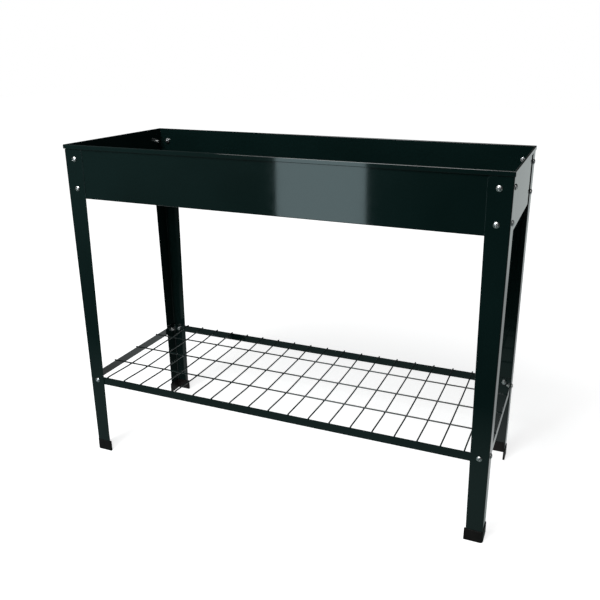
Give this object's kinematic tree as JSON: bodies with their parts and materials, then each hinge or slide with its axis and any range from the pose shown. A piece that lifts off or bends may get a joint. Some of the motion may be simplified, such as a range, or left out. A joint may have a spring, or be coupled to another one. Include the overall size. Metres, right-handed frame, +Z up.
{
  "type": "raised planter",
  "caption": "Long narrow sheet-metal planting trough bolted to angle legs with plastic foot caps, with an open wire shelf between the legs near the ground.",
  "frame": {"origin": "on the ground, under the middle of the planter", "axes": "+Z up, +X along the trough's length to the right seen from the front, the front faces -Y"},
  "size_m": [1.0096, 0.3856, 0.795],
  "materials": {
    "green_paint": "gloss",
    "zinc_plate": "satin",
    "black_plastic": "satin"
  },
  "bodies": {
    "root": {"front_panel": "green_paint", "back_panel": "green_paint", "left_end_panel": "green_paint", "right_end_panel": "green_paint", "trough_floor": "green_paint", "shelf_frame": "green_paint", "shelf_cross_wires": "green_paint", "shelf_long_wires": "green_paint", "front_left_leg": "green_paint", "front_left_foot_cap": "black_plastic", "front_right_leg": "green_paint", "front_right_foot_cap": "black_plastic", "back_left_leg": "green_paint", "back_left_foot_cap": "black_plastic", "back_right_leg": "green_paint", "back_right_foot_cap": "black_plastic", "front_trough_bolts": "zinc_plate", "front_trough_nuts": "zinc_plate", "front_shelf_bolts": "zinc_plate", "front_shelf_nuts": "zinc_plate", "back_trough_bolts": "zinc_plate", "back_trough_nuts": "zinc_plate", "back_shelf_bolts": "zinc_plate", "back_shelf_nuts": "zinc_plate", "left_end_trough_bolts": "zinc_plate", "left_end_trough_nuts": "zinc_plate", "left_end_shelf_bolts": "zinc_plate", "left_end_shelf_nuts": "zinc_plate", "right_end_trough_bolts": "zinc_plate", "right_end_trough_nuts": "zinc_plate", "right_end_shelf_bolts": "zinc_plate", "right_end_shelf_nuts": "zinc_plate"}
  },
  "joints": []
}
